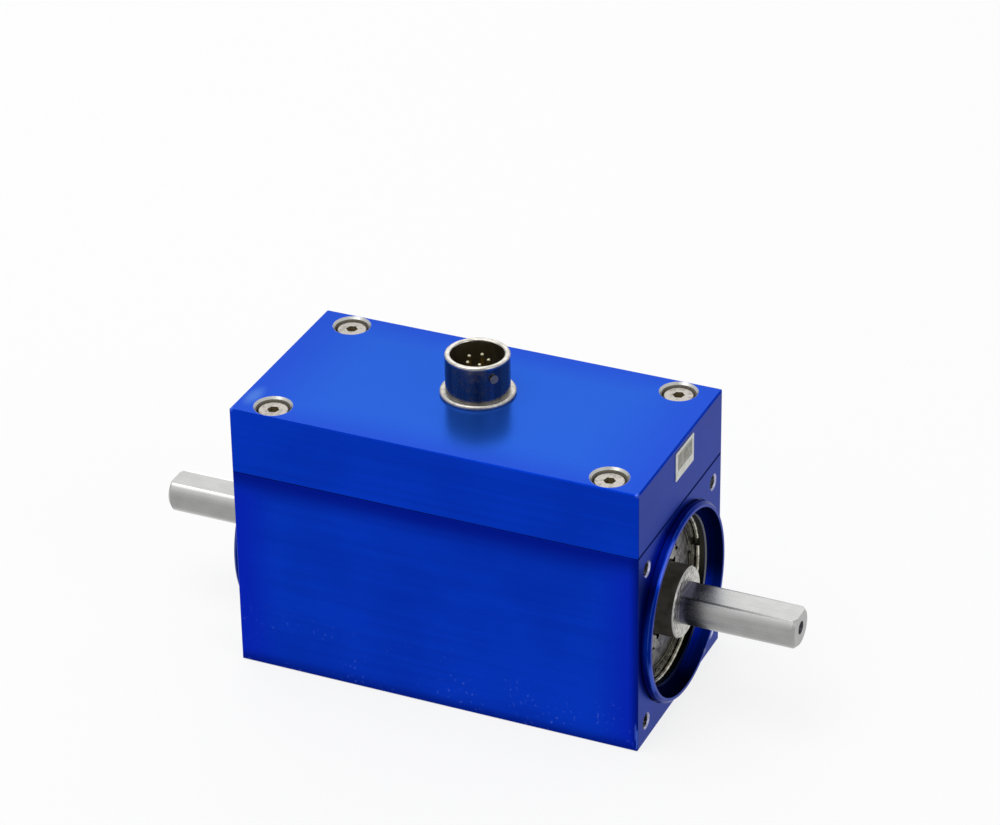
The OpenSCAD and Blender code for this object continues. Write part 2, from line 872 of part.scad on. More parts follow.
// Crown cage: a ring behind the balls with open pockets in its front
module cage() {
    base_t = 0.9;
    color("tan")
        difference() {
            turned_ring(pitch_r - cage_wall, pitch_r + cage_wall,
                bearing_mid - ball_d / 2 - pocket_play - base_t, bearing_mid + ball_d / 4);
            at_balls()
                sphere(d = ball_d + 2 * pocket_play);
        }
}

// Shields in the recesses at both faces of the right bearing
module shields() {
    floor_x = bearing_face - recess_depth;
    color("dimgray")
        for (face = [-1, 1])
            translate([face < 0 ? 2 * bearing_mid : 0, 0, 0])
                on_side(face)
                    turned_ring(inner_land + shield_gap, recess_r - seat_fit, floor_x, floor_x + shield_t);
}

// Split wires that hold the shields
module shield_wires() {
    color("silver")
        for (face = [-1, 1])
            translate([face < 0 ? 2 * bearing_mid : 0, 0, 0])
                on_side(face)
                    split_wire(recess_r - shield_wire_d / 2 - seat_fit,
                        bearing_face - recess_depth + shield_t + shield_wire_d / 2, shield_wire_d);
}

housing_body();
lid();
lid_gasket();
lid_screws();
label();
connector_shell();
connector_insert();
connector_pins();
connector_nut();
connector_oring();
connector_leads();
main_board();
board_components();
board_spacers();
board_screws();
stator_carrier();
stator_winding();
stator_leads();
torsion_shaft();
strain_gauges();
rotor_carrier();
rotor_winding();
rotor_board();
bearing_retainers();
outer_ring();  // right_outer_ring
inner_ring();  // right_inner_ring
balls();  // right_balls
cage();  // right_cage
shields();  // right_shields
shield_wires();  // right_shield_wires
on_side(-1) outer_ring();  // left_outer_ring
on_side(-1) inner_ring();  // left_inner_ring
on_side(-1) balls();  // left_balls
on_side(-1) cage();  // left_cage
on_side(-1) shields();  // left_shields
on_side(-1) shield_wires();  // left_shield_wires
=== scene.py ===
import bpy
import numpy as np
from mathutils import Matrix


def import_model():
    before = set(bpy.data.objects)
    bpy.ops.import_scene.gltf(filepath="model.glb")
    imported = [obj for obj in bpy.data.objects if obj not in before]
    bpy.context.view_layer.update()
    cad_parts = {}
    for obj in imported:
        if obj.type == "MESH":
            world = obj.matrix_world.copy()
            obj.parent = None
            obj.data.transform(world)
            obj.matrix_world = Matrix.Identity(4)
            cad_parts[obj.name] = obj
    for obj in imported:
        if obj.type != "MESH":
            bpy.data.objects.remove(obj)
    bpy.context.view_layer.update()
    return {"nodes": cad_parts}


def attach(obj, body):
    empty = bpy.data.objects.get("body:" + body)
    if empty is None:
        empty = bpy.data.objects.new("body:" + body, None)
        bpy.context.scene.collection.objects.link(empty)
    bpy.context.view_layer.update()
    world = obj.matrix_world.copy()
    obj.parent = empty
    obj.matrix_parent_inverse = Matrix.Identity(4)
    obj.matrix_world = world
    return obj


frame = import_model()
nodes = frame["nodes"]


# One output socket. Arithmetic on wires and numbers adds Math nodes to the wire's tree.
class Wire:
    def __init__(self, paint, socket):
        self.paint = paint
        self.socket = socket

    def calc(self, operation, *values):
        return self.paint.node("Math", {"operation": operation}, dict(enumerate(values)))

    def __add__(self, other):
        return self.calc("ADD", self, other)

    def __radd__(self, other):
        return self.calc("ADD", other, self)

    def __sub__(self, other):
        return self.calc("SUBTRACT", self, other)

    def __rsub__(self, other):
        return self.calc("SUBTRACT", other, self)

    def __mul__(self, other):
        return self.calc("MULTIPLY", self, other)

    def __truediv__(self, other):
        return self.calc("DIVIDE", self, other)

    def __abs__(self):
        return self.calc("ABSOLUTE", self)

    def most(self, other):
        return self.calc("MAXIMUM", self, other)

    def least(self, other):
        return self.calc("MINIMUM", self, other)

    def root(self):
        return self.calc("SQRT", self)

    # from 0 to 1 and back in each full turn
    def wave(self):
        return self.calc("SINE", self) * 0.5 + 0.5


# One node tree. The method node makes any node: its type, its settings, then the values or wires of its
# sockets.
class Paint:
    def __init__(self, tree):
        self.tree = tree
        tree.nodes.clear()

    def node(self, kind, settings=None, sockets=None, out=0):
        made = self.tree.nodes.new("ShaderNode" + kind)
        for key, value in (settings or {}).items():
            setattr(made, key, value)
        for key, value in (sockets or {}).items():
            if isinstance(value, Wire):
                self.tree.links.new(value.socket, made.inputs[key])
            else:
                made.inputs[key].default_value = value
        return None if out is None else Wire(self, made.outputs[out])

    # place on the piece in millimetres, as a vector and as x, y and z
    def locate(self):
        spot = self.node("TexCoord", out="Object")
        self.spot = self.node("VectorMath", {"operation": "SCALE"}, {"Vector": spot, "Scale": 1000.0})
        self.x, self.y, self.z = (
            self.node("SeparateXYZ", None, {"Vector": self.spot}, axis) for axis in "XYZ"
        )
        return self

    # 0 below low, 1 above high, smooth between
    def rise(self, value, low, high):
        return self.node(
            "MapRange",
            {"interpolation_type": "SMOOTHSTEP"},
            {"Value": value, "From Min": low, "From Max": high},
        )

    # the reverse of rise
    def fall(self, value, low, high):
        return 1 - self.rise(value, low, high)

    # 1 between low and high, with soft ends
    def band(self, value, low, high, soft):
        return self.rise(value, low - soft, low + soft) * self.fall(value, high - soft, high + soft)

    # distance from the origin of a plane
    def reach(self, a, b):
        return (a * a + b * b).root()

    # cloudy value from 0 to 1 whose lumps are about size millimetres, longer where stretch is small
    def cloud(self, size, detail=2.0, stretch=(1.0, 1.0, 1.0)):
        spot = self.node("Mapping", None, {"Vector": self.spot, "Scale": tuple(s / size for s in stretch)})
        sockets = {"Vector": spot, "Scale": 1.0, "Detail": detail, "Roughness": 0.5}
        return self.node("TexNoise", None, sockets, "Fac")

    def blend(self, share, low, high):
        return self.node("Mix", {"data_type": "RGBA"}, {0: share, 6: low, 7: high}, 2)

    def shade(self, colour, factor):
        return self.node("VectorMath", {"operation": "SCALE"}, {"Vector": colour, "Scale": factor})

    # closes the tree with one shader; bump is a height from 0 to 1 and depth its size in metres
    def finish(self, colour, roughness, metallic, bump=None, depth=0.0, fixed=None):
        sockets = {"Base Color": colour, "Roughness": roughness, "Metallic": metallic, **(fixed or {})}
        if bump is not None:
            sockets["Normal"] = self.node(
                "Bump", None, {"Strength": 1.0, "Distance": depth, "Height": bump}, "Normal"
            )
        shader = self.node("BsdfPrincipled", None, sockets, "BSDF")
        self.node("OutputMaterial", None, {"Surface": shader}, None)


def newFinish(name):
    material = bpy.data.materials.new(name)
    material.use_nodes = True
    return material, Paint(material.node_tree).locate()


def wear(material, *names):
    for name in names:
        slots = nodes[name].data.materials
        slots.clear()
        slots.append(material)


shaftAxis = 25.5  # height of the shaft above the base, mm

# Colours first, then clouds as size, detail and stretch. Places and masks are in millimetres: two numbers are
# where a mask rises from 0 to 1, three are a band and the softness of its ends. R is the distance from the
# shaft's axis. The two last tables are each mask's share in the paler dye and in the matt finish.
anodised = {
    "deep": (0.0010, 0.026, 0.39, 1.0),
    "light": (0.0016, 0.036, 0.49, 1.0),
    "topSheen": (0.0125, 0.082, 0.475, 1.0),  # painted whitish sheen on the upper face of the lid
    "topSheenEdge": (0.0110, 0.057, 0.450, 1.0),  # towards that face's edges
    "haze": (0.130, 0.300, 0.56, 1.0),  # a smear beside the left front screw
    "hemShade": (0.0004, 0.0060, 0.150, 1.0),  # painted shade on the long sides near the right end and the base
    "flankShade": (0.0020, 0.0150, 0.42, 1.0),  # painted shade at both ends of the block's long sides
    "seamShade": (0.0006, 0.0060, 0.215, 1.0),  # painted shade under the joint on the long sides
    # paler dye of dust and wear, also used for painted highlights on the spigots
    "dustAndGlint": (0.060, 0.130, 0.60, 1.0),
    "bare": (0.46, 0.46, 0.44, 1.0),
    "sunk": (0.43, 0.44, 0.62, 1.0),  # the countersinks of the threaded holes
    "sunkDull": (0.27, 0.28, 0.40, 1.0),
    "seat": (0.15, 0.15, 0.14, 1.0),  # the chamfers in front of the bearings, painted dark as shade
    "bore": (0.070, 0.070, 0.055, 1.0),  # the walls in front of the bearings, above and below the shaft, painted dark as shade
    # near black: painted shadow low in those walls and chamfers
    "boreShadow": (0.004, 0.004, 0.003, 1.0),
    "worn": (0.105, 0.120, 0.40, 1.0),  # the spigots' rims
    "chamferGlint": (0.10, 0.16, 0.75, 1.0),  # painted highlight on the spigots' chamfers
    "grime": (0.030, 0.028, 0.022, 1.0),
    "stain": (0.40, 0.37, 0.30, 1.0),  # the walls of the counterbores
    "edgeTint": (0.64, 0.68, 0.86, 1.0),
    "dyeCloud": (26.0, 3.0),
    "dyeLines": (1.3, 2.0, (0.03, 1.0, 1.0)),
    "speckCloud": (0.95, 1.0),
    "speckPatches": (9.0, 2.0),
    "edgeCloud": (1.6, 3.0, (1.0, 1.0, 0.35)),
    "ridgeCloud": (3.0, 3.0),
    "knockCloud": (0.6, 2.0),
    "smearCloud": (0.9, 3.0),
    "glossCloud": (7.0, 3.0),
    "grainCloud": (0.22, 2.0),
    "grainLines": (0.5, 2.0, (0.04, 1.0, 1.0)),
    "dyeTone": (0.30, 0.72),
    "topZ": (67.54, 67.58),
    "lidHalf": (50.0, 25.5),
    "border": (0.55, 1.05),  # share of the way from the lid's middle to its edges
    "hazePlace": (-47.3, -18.0),
    "hazeReach": (0.3, 2.6),
    "bevelZ": (67.27, 67.33),  # the lid's upper edge along the sides, darkened as painted shade
    "bevelY": (25.1, 25.2),
    "crestZ": (66.85, 67.15),  # the same edge at the ends, left out of the end faces' painted shade
    "crestX": (49.6, 49.7),
    "seamZ": (43.0, 50.6),
    "aboveSeamZ": (51.0, 51.15),
    "seamY": (25.3, 25.45),
    "flankX": (37.5, 49.5),
    "flankY": (25.2, 25.45),
    "aboveFlankZ": (44.0, 50.0),
    "hemX": (47.4, 50.4),
    "hemZ": (-1.0, 4.2),
    "hemY": (24.9, 25.2),
    "aboveHemZ": (51.0, 51.2),
    "endX": (49.9, 49.98),
    "proudX": (50.02, 50.1),  # what stands out from the end faces
    "jointZ": (50.75, 51.45, 0.2),  # dirt along the joint on the end faces
    "grooveR": (23.18, 23.82, 0.02),  # the relief round a spigot's foot
    "grooveX": (49.4, 49.5),
    "beyondGrooveX": (49.88, 49.98),
    "mouthR": (20.36, 22.25, 0.03),
    "mouthX": (48.4, 48.6),
    "lowRise": (-16.0, -4.0),  # heights from the axis
    "farY": (2.0, 10.0),
    "farthestY": (6.0, 14.0),
    "farRise": (-17.0, -6.0, 4.0),
    "recessShade": (0.20, 0.55),  # painted shade in the mouths: the share of colour kept above and below the shaft
    "recessNear": 0.15,  # share of it on the near side
    # a painted gleam low on the mouths' far side
    "recessGleam": 1.2,
    "collarR": (22.97, 23.6, 0.03),
    "glintAim": (-0.59, 0.81),  # direction from the axis in y and z of the spigots' painted highlight
    "collarGlint": (0.950, 0.990),  # cosines to that direction
    "speck": (0.62, 0.76),
    "speckPatch": (0.45, 0.62),
    "aboveFootZ": (6.0, 20.0),
    "footY": (25.2, 25.4),
    "half": (49.5, 25.0),  # middles of the upright corners' arcs
    "cornerTurn": (0.1, 0.3),
    "edgePatch": (0.50, 0.58),
    "aboveEdgeZ": (8.0, 11.0),
    "cornerPlace": (49.7, 25.2, 67.4),
    "cornerReach": (0.3, 0.8),
    "ridgePlace": (23.5, 51.5),  # where a spigot's chamfer begins, R and x
    "ridgeReach": (0.04, 0.16),
    "ridgePatch": (0.35, 0.60),
    "lipPlace": (22.28, 52.08),  # a mouth's edge, R and x
    "lipReach": (0.06, 0.2),
    "litGlint": (0.965, 0.998),
    "litR": (22.95, 23.25, 0.1),
    "litX": (51.4, 51.5),
    "scuffZ": (3.2, 7.2, 0.8),
    "scuffX": (49.35, 49.7, 0.12),
    "beyondScuffY": (-25.4, -25.2),
    # a painted highlight on the spigots' rims towards -y and down
    "rubAim": (-0.94, -0.34),
    "rubGlint": (0.965, 0.995),
    "rubR": (22.3, 22.5),
    "rubX": (51.6, 51.7),
    "seatR": (20.03, 20.33, 0.02),
    "seatX": (48.4, 48.72, 0.04),
    "seatRise": (-18.0, -10.0),
    "holePlace": 20.25,  # of the threaded holes, from the axis
    "leftWiden": 0.35,  # the left end's holes are drawn wider
    "leftX": (-1.0, 1.0),
    "beyondSinkR": (2.03, 2.07),  # from a hole's own axis
    "sinkX": (49.5, 49.6),
    "sinkPatch": (0.40, 0.60),
    "beyondDrillR": (1.68, 1.71),
    "drillX": (40.0, 40.2),
    "drillPatch": (0.38, 0.62),
    "drillTone": 0.9,
    "screwPlace": (41.2, 20.6),  # of the lid screws, from the middle
    "beyondRimR": (4.49, 4.54),  # from a screw's own axis
    "beyondBoreR": (4.03, 4.08),
    "boreZ": (60.0, 60.2),
    "rimZ": (67.02, 67.1),
    "beyondWallR": (20.56, 20.6),
    "wallX": (40.0, 40.2),
    "beyondWallX": (48.38, 48.42),
    "wallRise": (-9.0, 2.0),
    "knockPlace": (52.0, 11.2, 5.4),  # a bare spot on the right spigot's rim
    "knockReach": (0.9, 1.5),
    "wornR": (22.25, 22.95, 0.06),
    "wornX": (52.0, 52.08),
    "endShade": 0.58,  # painted shade: the share of colour kept on the milled end faces
    "topMatt": 0.45,
    "roughness": 0.24,
    "bump": 0.000004,  # metres
    "pale": {
        "specks": 0.45,
        "rubbed": 0.8,
        "corner": 0.6,
        "ridge": 0.30,
        "lip": 0.35,
        "lit": 0.55,
        "scuff": 0.5,
        "rub": 0.6,
    },
    "matt": {
        "joint": 0.85,
        "crest": 0.8,
        "bore": 0.7,
        "seat": 0.5,
        "mouth": 0.6,
        "worn": 0.35,
        "lit": 0.5,
        "drilled": 0.6,
        "wall": 0.6,
    },
}


def anodisedFinish():
    material, p = newFinish("anodisedBlue")
    ax, ay = abs(p.x), abs(p.y)
    rise = p.z - shaftAxis
    radius = p.reach(p.y, rise)

    def cloud(name):
        return p.cloud(*anodised[name])

    def past(value, name):
        return p.rise(value, *anodised[name])

    def before(value, name):
        return p.fall(value, *anodised[name])

    def within(value, name):
        return p.band(value, *anodised[name])

    def towards(name):
        return (p.y * anodised[name][0] + rise * anodised[name][1]) / radius

    def weigh(masks, shares):
        total = 0.0
        for name, share in anodised[shares].items():
            total = total + masks[name] * share
        return total

    # dye: large soft clouds and faint lines along the block; a painted whitish sheen on the lid's upper face,
    # darker towards its edges
    tone = cloud("dyeCloud") * 0.7 + cloud("dyeLines") * 0.3
    colour = p.blend(past(tone, "dyeTone"), anodised["deep"], anodised["light"])
    top = past(p.z, "topZ")
    border = (ax / anodised["lidHalf"][0]).most(ay / anodised["lidHalf"][1])
    topSheen = p.blend(past(border, "border"), anodised["topSheen"], anodised["topSheenEdge"])
    hazeX, hazeY = anodised["hazePlace"]
    haze = before(p.reach(p.x - hazeX, (p.y - hazeY) * 0.45), "hazeReach") * 0.3
    colour = p.blend(top, colour, p.blend(haze, topSheen, anodised["haze"]))
    # painted shade along the lid's upper edge on the long sides
    bevelShade = past(p.z, "bevelZ") * (1 - top) * past(ay, "bevelY")
    crest = past(p.z, "crestZ") * (1 - top) * past(ax, "crestX")
    colour = p.shade(colour, 1 - bevelShade * 0.45)

    # painted shade on the long sides: under the joint, at both ends, and by the right end and the base
    seamShade = past(p.z, "seamZ") * before(p.z, "aboveSeamZ") * past(ay, "seamY")
    colour = p.blend(seamShade * 0.9, colour, anodised["seamShade"])
    flankShade = past(ax, "flankX") * past(ay, "flankY") * before(p.z, "aboveFlankZ")
    colour = p.blend(flankShade * 0.9, colour, anodised["flankShade"])
    hemShade = past(p.x, "hemX").most(before(p.z, "hemZ")) * past(ay, "hemY") * before(p.z, "aboveHemZ")
    colour = p.blend(hemShade, colour, anodised["hemShade"])

    # end faces in painted shade, the dirt along their joint, the spigots with painted shade in the relief at
    # their feet and on their outer walls, lifted into a painted highlight towards glintAim, and painted shade
    # in the mouths with a painted gleam low on their far side
    end = past(ax, "endX") * (1 - crest)
    proud = past(ax, "proudX")
    joint = within(p.z, "jointZ") * end * (1 - proud)
    groove = within(radius, "grooveR") * before(ax, "beyondGrooveX") * past(ax, "grooveX")
    mouth = within(radius, "mouthR") * past(ax, "mouthX")
    # painted shade in the mouths, deeper on the near side, with a painted gleam low on the far side
    above, below = anodised["recessShade"]
    near = anodised["recessNear"]
    kept = (above + before(rise, "lowRise") * (below - above)) * (near + past(p.y, "farY") * (1 - near))
    kept = kept + past(p.y, "farthestY") * within(rise, "farRise") * anodised["recessGleam"]
    collar = within(radius, "collarR") * proud
    colour = p.shade(colour, 1 - end * (1 - collar) * (1 - anodised["endShade"]))
    colour = p.shade(colour, 1 - mouth * (1 - kept))
    # painted shade in the relief at the spigots' feet
    colour = p.shade(colour, 1 - groove * 0.75)
    # painted shade on the spigots' outer walls, lifted into a painted highlight towards glintAim
    aside = towards("glintAim")
    colour = p.shade(colour, 1 - collar * (0.62 - past(aside, "collarGlint") * 0.57))
    colour = p.shade(colour, 1 - joint * 0.55)

    # dust low on the long sides, rubbed upright edges and corners
    specks = past(cloud("speckCloud"), "speck") * past(cloud("speckPatches"), "speckPatch")
    specks = specks * before(p.z, "aboveFootZ") * past(ay, "footY")
    cornerX, cornerY = (ax - anodised["half"][0]).most(0.0), (ay - anodised["half"][1]).most(0.0)
    edge = past(cornerX, "cornerTurn") * past(cornerY, "cornerTurn")
    rubbed = edge * past(cloud("edgeCloud"), "edgePatch") * before(p.z, "aboveEdgeZ")
    placeX, placeY, placeZ = anodised["cornerPlace"]
    corner = before(p.reach(p.reach(ax - placeX, ay - placeY), p.z - placeZ), "cornerReach")
    # a painted highlight along the corners where the spigots' chamfers begin, a paler line on the mouths'
    # edges, a painted highlight streak on the chamfers up towards -y, a scuff on the right front edge, and a
    # painted highlight on the rims towards -y and down
    ridgeR, ridgeX = anodised["ridgePlace"]
    ridge = before(p.reach(radius - ridgeR, ax - ridgeX), "ridgeReach")
    ridge = ridge * past(cloud("ridgeCloud"), "ridgePatch")
    lipR, lipX = anodised["lipPlace"]
    lip = before(p.reach(radius - lipR, ax - lipX), "lipReach")
    lit = past(aside, "litGlint") * within(radius, "litR") * past(ax, "litX")
    scuff = within(p.z, "scuffZ") * within(p.x, "scuffX") * before(p.y, "beyondScuffY")
    rub = past(towards("rubAim"), "rubGlint") * past(radius, "rubR") * past(ax, "rubX")
    pale = {
        "specks": specks, "rubbed": rubbed, "corner": corner, "ridge": ridge,
        "lip": lip, "lit": lit, "scuff": scuff, "rub": rub,
    }
    colour = p.blend(weigh(pale, "pale").least(1.0), colour, anodised["dustAndGlint"])

    # bare metal: countersinks, the mouths of the counterbores and a knock on the rim; seat chamfers and walls
    # in front of the bearings in painted shade, near black below the shaft
    seat = within(radius, "seatR") * within(ax, "seatX")
    hole = p.reach(ay - anodised["holePlace"], abs(rise) - anodised["holePlace"])
    hole = hole - before(p.x, "leftX") * anodised["leftWiden"]
    sink = before(hole, "beyondSinkR") * past(ax, "sinkX")
    drilled = before(hole, "beyondDrillR") * past(ax, "drillX")
    screw = p.reach(ax - anodised["screwPlace"][0], ay - anodised["screwPlace"][1])
    rim = before(screw, "beyondRimR") * past(p.z, "rimZ")
    bore = before(screw, "beyondBoreR") * past(p.z, "boreZ") * before(p.z, "rimZ")
    wall = before(radius, "beyondWallR") * past(ax, "wallX") * before(ax, "beyondWallX")
    knockX, knockY, knockZ = anodised["knockPlace"]
    knock = p.reach(p.reach(p.x - knockX, p.y - knockY), p.z - knockZ)
    knock = before(knock + cloud("knockCloud"), "knockReach")
    worn = within(radius, "wornR") * past(ax, "wornX")
    bare = sink.most(rim).most(knock)
    smear = cloud("smearCloud")
    colour = p.blend(bare, colour, anodised["bare"])
    sunk = p.blend(past(smear, "sinkPatch"), anodised["sunkDull"], anodised["sunk"])
    colour = p.blend(sink, colour, sunk)
    seatShade = p.blend(past(rise, "seatRise"), anodised["boreShadow"], anodised["seat"])
    colour = p.blend(seat, colour, seatShade)
    cut = p.blend(past(smear, "drillPatch"), anodised["grime"], anodised["bare"])
    colour = p.blend(drilled, colour, p.shade(cut, anodised["drillTone"]))
    colour = p.blend(bore, colour, anodised["stain"])
    boreWallShade = p.blend(past(rise, "wallRise"), anodised["boreShadow"], anodised["bore"])
    colour = p.blend(wall, colour, boreWallShade)
    colour = p.blend(worn * 0.55, colour, anodised["worn"])
    # painted highlight on the spigots' chamfers
    colour = p.blend(lit * 0.9, colour, anodised["chamferGlint"])

    metal = bare.most(drilled)
    matt = {
        "joint": joint, "crest": crest, "bore": bore, "seat": seat, "mouth": mouth,
        "worn": worn, "lit": lit, "drilled": drilled, "wall": wall,
    }
    matt = weigh(matt, "matt") + top * anodised["topMatt"] * (1 - metal)
    roughness = anodised["roughness"] + (cloud("glossCloud") - 0.5) * 0.05 + end * 0.05 + metal * 0.06
    grain = cloud("grainCloud") * 0.6 + cloud("grainLines") * 0.4
    fixed = {"Specular Tint": anodised["edgeTint"], "Specular IOR Level": 0.0}
    p.finish(colour, roughness, 1 - matt.least(1.0), grain, anodised["bump"], fixed)
    return material


wear(anodisedFinish(), "housing_body", "lid")

# soft and moulded finishes: two tones, the size of their lumps in mm, roughness, bump in metres, gloss level
moulded = {
    "gasketRubber": ((0.002, 0.005, 0.060), (0.003, 0.008, 0.090), 1.2, 0.60, 0.00002, 0.0),
    "insertMoulding": ((0.020, 0.018, 0.012), (0.040, 0.034, 0.022), 2.0, 0.42, 0.00001, 0.5),
    "boardMask": ((0.004, 0.085, 0.035), (0.010, 0.140, 0.055), 6.0, 0.35, 0.00001, 0.5),
    "chipMoulding": ((0.014, 0.014, 0.015), (0.026, 0.026, 0.027), 0.8, 0.55, 0.00001, 0.5),
    "bobbinMoulding": ((0.62, 0.56, 0.43), (0.76, 0.71, 0.59), 5.0, 0.50, 0.00001, 0.5),
    "leadCover": ((0.30, 0.012, 0.012), (0.42, 0.025, 0.022), 2.0, 0.42, 0.00001, 0.5),
    "cageMoulding": ((0.40, 0.27, 0.13), (0.52, 0.38, 0.21), 3.0, 0.50, 0.00001, 0.5),
    "gaugeFilm": ((0.42, 0.22, 0.05), (0.56, 0.34, 0.11), 0.7, 0.40, 0.00001, 0.5),
}


def mouldedFinish(name):
    low, high, size, roughness, depth, gloss = moulded[name]
    material, p = newFinish(name)
    tone = p.cloud(size, 3.0)
    colour = p.blend(p.rise(tone, 0.3, 0.7), (*low, 1.0), (*high, 1.0))
    fixed = {"Specular IOR Level": gloss}
    p.finish(colour, roughness + (tone - 0.5) * 0.2, 0.0, p.cloud(size * 0.15, 2.0), depth, fixed)
    return material


for name, wearers in {
    "gasketRubber": ["lid_gasket", "connector_oring"],
    "insertMoulding": ["connector_insert"],
    "boardMask": ["main_board", "rotor_board"],
    "chipMoulding": ["board_components"],
    "bobbinMoulding": ["stator_carrier", "rotor_carrier"],
    "leadCover": ["connector_leads", "stator_leads"],
    "cageMoulding": ["right_cage", "left_cage"],
    "gaugeFilm": ["strain_gauges"],
}.items():
    wear(mouldedFinish(name), *wearers)

# plain metals: two tones, the size of their stains in mm, roughness
metals = {
    "nutPlating": ((0.50, 0.48, 0.44), (0.64, 0.62, 0.58), 3.0, 0.25),
    "spacerBrass": ((0.50, 0.35, 0.12), (0.64, 0.47, 0.20), 2.0, 0.30),
    "windingCopper": ((0.42, 0.15, 0.05), (0.60, 0.26, 0.10), 1.0, 0.35),
    "ballSteel": ((0.66, 0.66, 0.65), (0.74, 0.74, 0.72), 4.0, 0.10),
}


def metalFinish(name):
    low, high, size, roughness = metals[name]
    material, p = newFinish(name)
    tone = p.cloud(size, 3.0)
    colour = p.blend(p.rise(tone, 0.3, 0.7), (*low, 1.0), (*high, 1.0))
    p.finish(colour, roughness + (tone - 0.5) * 0.12, 1.0, p.cloud(0.3, 2.0, (1.0, 1.0, 0.2)), 0.000004)
    return material


for name, wearers in {
    "nutPlating": ["connector_nut", "board_screws"],
    "spacerBrass": ["board_spacers"],
    "windingCopper": ["stator_winding", "rotor_winding"],
    "ballSteel": ["right_balls", "left_balls"],
}.items():
    wear(metalFinish(name), *wearers)
print("finishes: housing and inside")

screwSteel = {
    "pale": (0.33, 0.31, 0.28, 1.0),
    "stained": (0.20, 0.18, 0.155, 1.0),
    "socket": (0.24, 0.195, 0.110, 1.0),
    "place": (41.2, 20.6),
    "rimR": (2.9, 3.5),
    "beyondSocketR": (1.50, 1.56),
    "aboveSocketZ": (66.45, 66.65),
    "turning": 38.0,  # radians per mm of the lathe's rings
}


def screwFinish():
    material, p = newFinish("screwSteel")
    reach = p.reach(abs(p.x) - screwSteel["place"][0], abs(p.y) - screwSteel["place"][1])
    stain = p.rise(p.cloud(1.1, 3.0), 0.46, 0.66)
    share = stain * 0.45 + p.rise(reach, *screwSteel["rimR"]) * 0.35
    colour = p.blend(share.least(1.0), screwSteel["pale"], screwSteel["stained"])
    socket = p.fall(reach, *screwSteel["beyondSocketR"]) * p.fall(p.z, *screwSteel["aboveSocketZ"])
    colour = p.blend(socket, colour, screwSteel["socket"])
    rings = (reach * screwSteel["turning"]).wave()
    p.finish(colour, 0.30 + stain * 0.15, 1 - socket * 0.6, rings, 0.000004)
    return material


wear(screwFinish(), "lid_screws")

label = {
    "film": (0.70, 0.71, 0.68, 1.0),
    "yellowed": (0.60, 0.60, 0.54, 1.0),
    "field": (0.090, 0.086, 0.060, 1.0),  # a plain darker field on the film
    "fieldPale": (0.225, 0.215, 0.170, 1.0),
    "fieldY": (-2.4, 6.2, 0.10),
    "fieldZ": (61.0, 65.2, 0.10),
}


def labelFinish():
    material, p = newFinish("labelFilm")
    field = p.band(p.y, *label["fieldY"]) * p.band(p.z, *label["fieldZ"])
    film = p.blend(p.rise(p.cloud(2.5, 3.0), 0.4, 0.7), label["film"], label["yellowed"])
    tint = p.blend(p.rise(p.cloud(1.1, 3.0), 0.40, 0.62), label["field"], label["fieldPale"])
    colour = p.blend(field * 0.92, film, tint)
    p.finish(colour, 0.45 - field * 0.08, 0.0, p.cloud(0.8, 2.0), 0.00001)
    return material


wear(labelFinish(), "label")

plated = {
    "pale": (0.47, 0.45, 0.41, 1.0),
    # painted reflections, dark and warm, streaked upright on the barrel's wall
    "mirroredDark": (0.115, 0.120, 0.145, 1.0),
    "mirroredWarm": (0.22, 0.205, 0.19, 1.0),
    "inside": (0.23, 0.205, 0.135, 1.0),
    # the stud painted dark for its dark reflection, its tip paler as a painted highlight
    "stud": (0.12, 0.115, 0.11, 1.0),
    "studTip": (0.20, 0.195, 0.185, 1.0),
    "centre": (-0.9, 3.0),
    "streaks": (1.9, 3.0, (1.0, 1.0, 0.03)),  # upright, so long in z
    "turning": (0.25, 1.0, (0.05, 0.05, 1.0)),
    "wallZ": (68.65, 77.05, 0.12),
    "wallR": (6.9, 7.8, 0.15),
    "studR": (7.54, 7.60),
    "studTipR": (7.95, 8.05),
    "studZ": (72.0, 73.0),
    "aboveStudZ": (76.0, 76.5),
    "beyondInsideR": (6.25, 6.4),
    "aboveInsideZ": (77.25, 77.55),
    "aboveFlangeZ": (68.62, 68.8),
}


def platedFinish():
    material, p = newFinish("connectorPlating")
    reach = p.reach(p.x - plated["centre"][0], p.y - plated["centre"][1])
    wall = p.band(p.z, *plated["wallZ"]) * p.band(reach, *plated["wallR"])
    # the barrel's wall in painted reflections, streaked upright
    worn = p.blend(p.rise(p.cloud(*plated["streaks"]), 0.40, 0.60), plated["mirroredDark"], plated["mirroredWarm"])
    colour = p.blend(wall, plated["pale"], worn)
    # the stud painted dark as reflection, its tip paler and less metallic as a painted highlight
    studs = p.rise(p.z, *plated["studZ"])
    stud = p.rise(reach, *plated["studR"]) * studs * p.fall(p.z, *plated["aboveStudZ"])
    colour = p.blend(stud, colour, plated["stud"])
    studTip = p.rise(reach, *plated["studTipR"]) * studs
    colour = p.blend(studTip, colour, plated["studTip"])
    inside = p.fall(reach, *plated["beyondInsideR"]) * p.fall(p.z, *plated["aboveInsideZ"])
    colour = p.blend(inside, colour, plated["inside"])
    stain = p.rise(p.cloud(1.4, 3.0), 0.42, 0.68)
    colour = p.shade(colour, 1 - stain * 0.18)
    flange = p.fall(p.z, *plated["aboveFlangeZ"])
    roughness = 0.20 + stain * 0.10 + inside * 0.15 + flange * 0.18
    p.finish(colour, roughness, 1 - studTip * 0.75, p.cloud(*plated["turning"]), 0.000004)
    return material


wear(platedFinish(), "connector_shell")

pin = {"gold": (0.62, 0.44, 0.16, 1.0), "tip": (0.34, 0.32, 0.22, 1.0), "tipZ": (75.0, 76.0)}


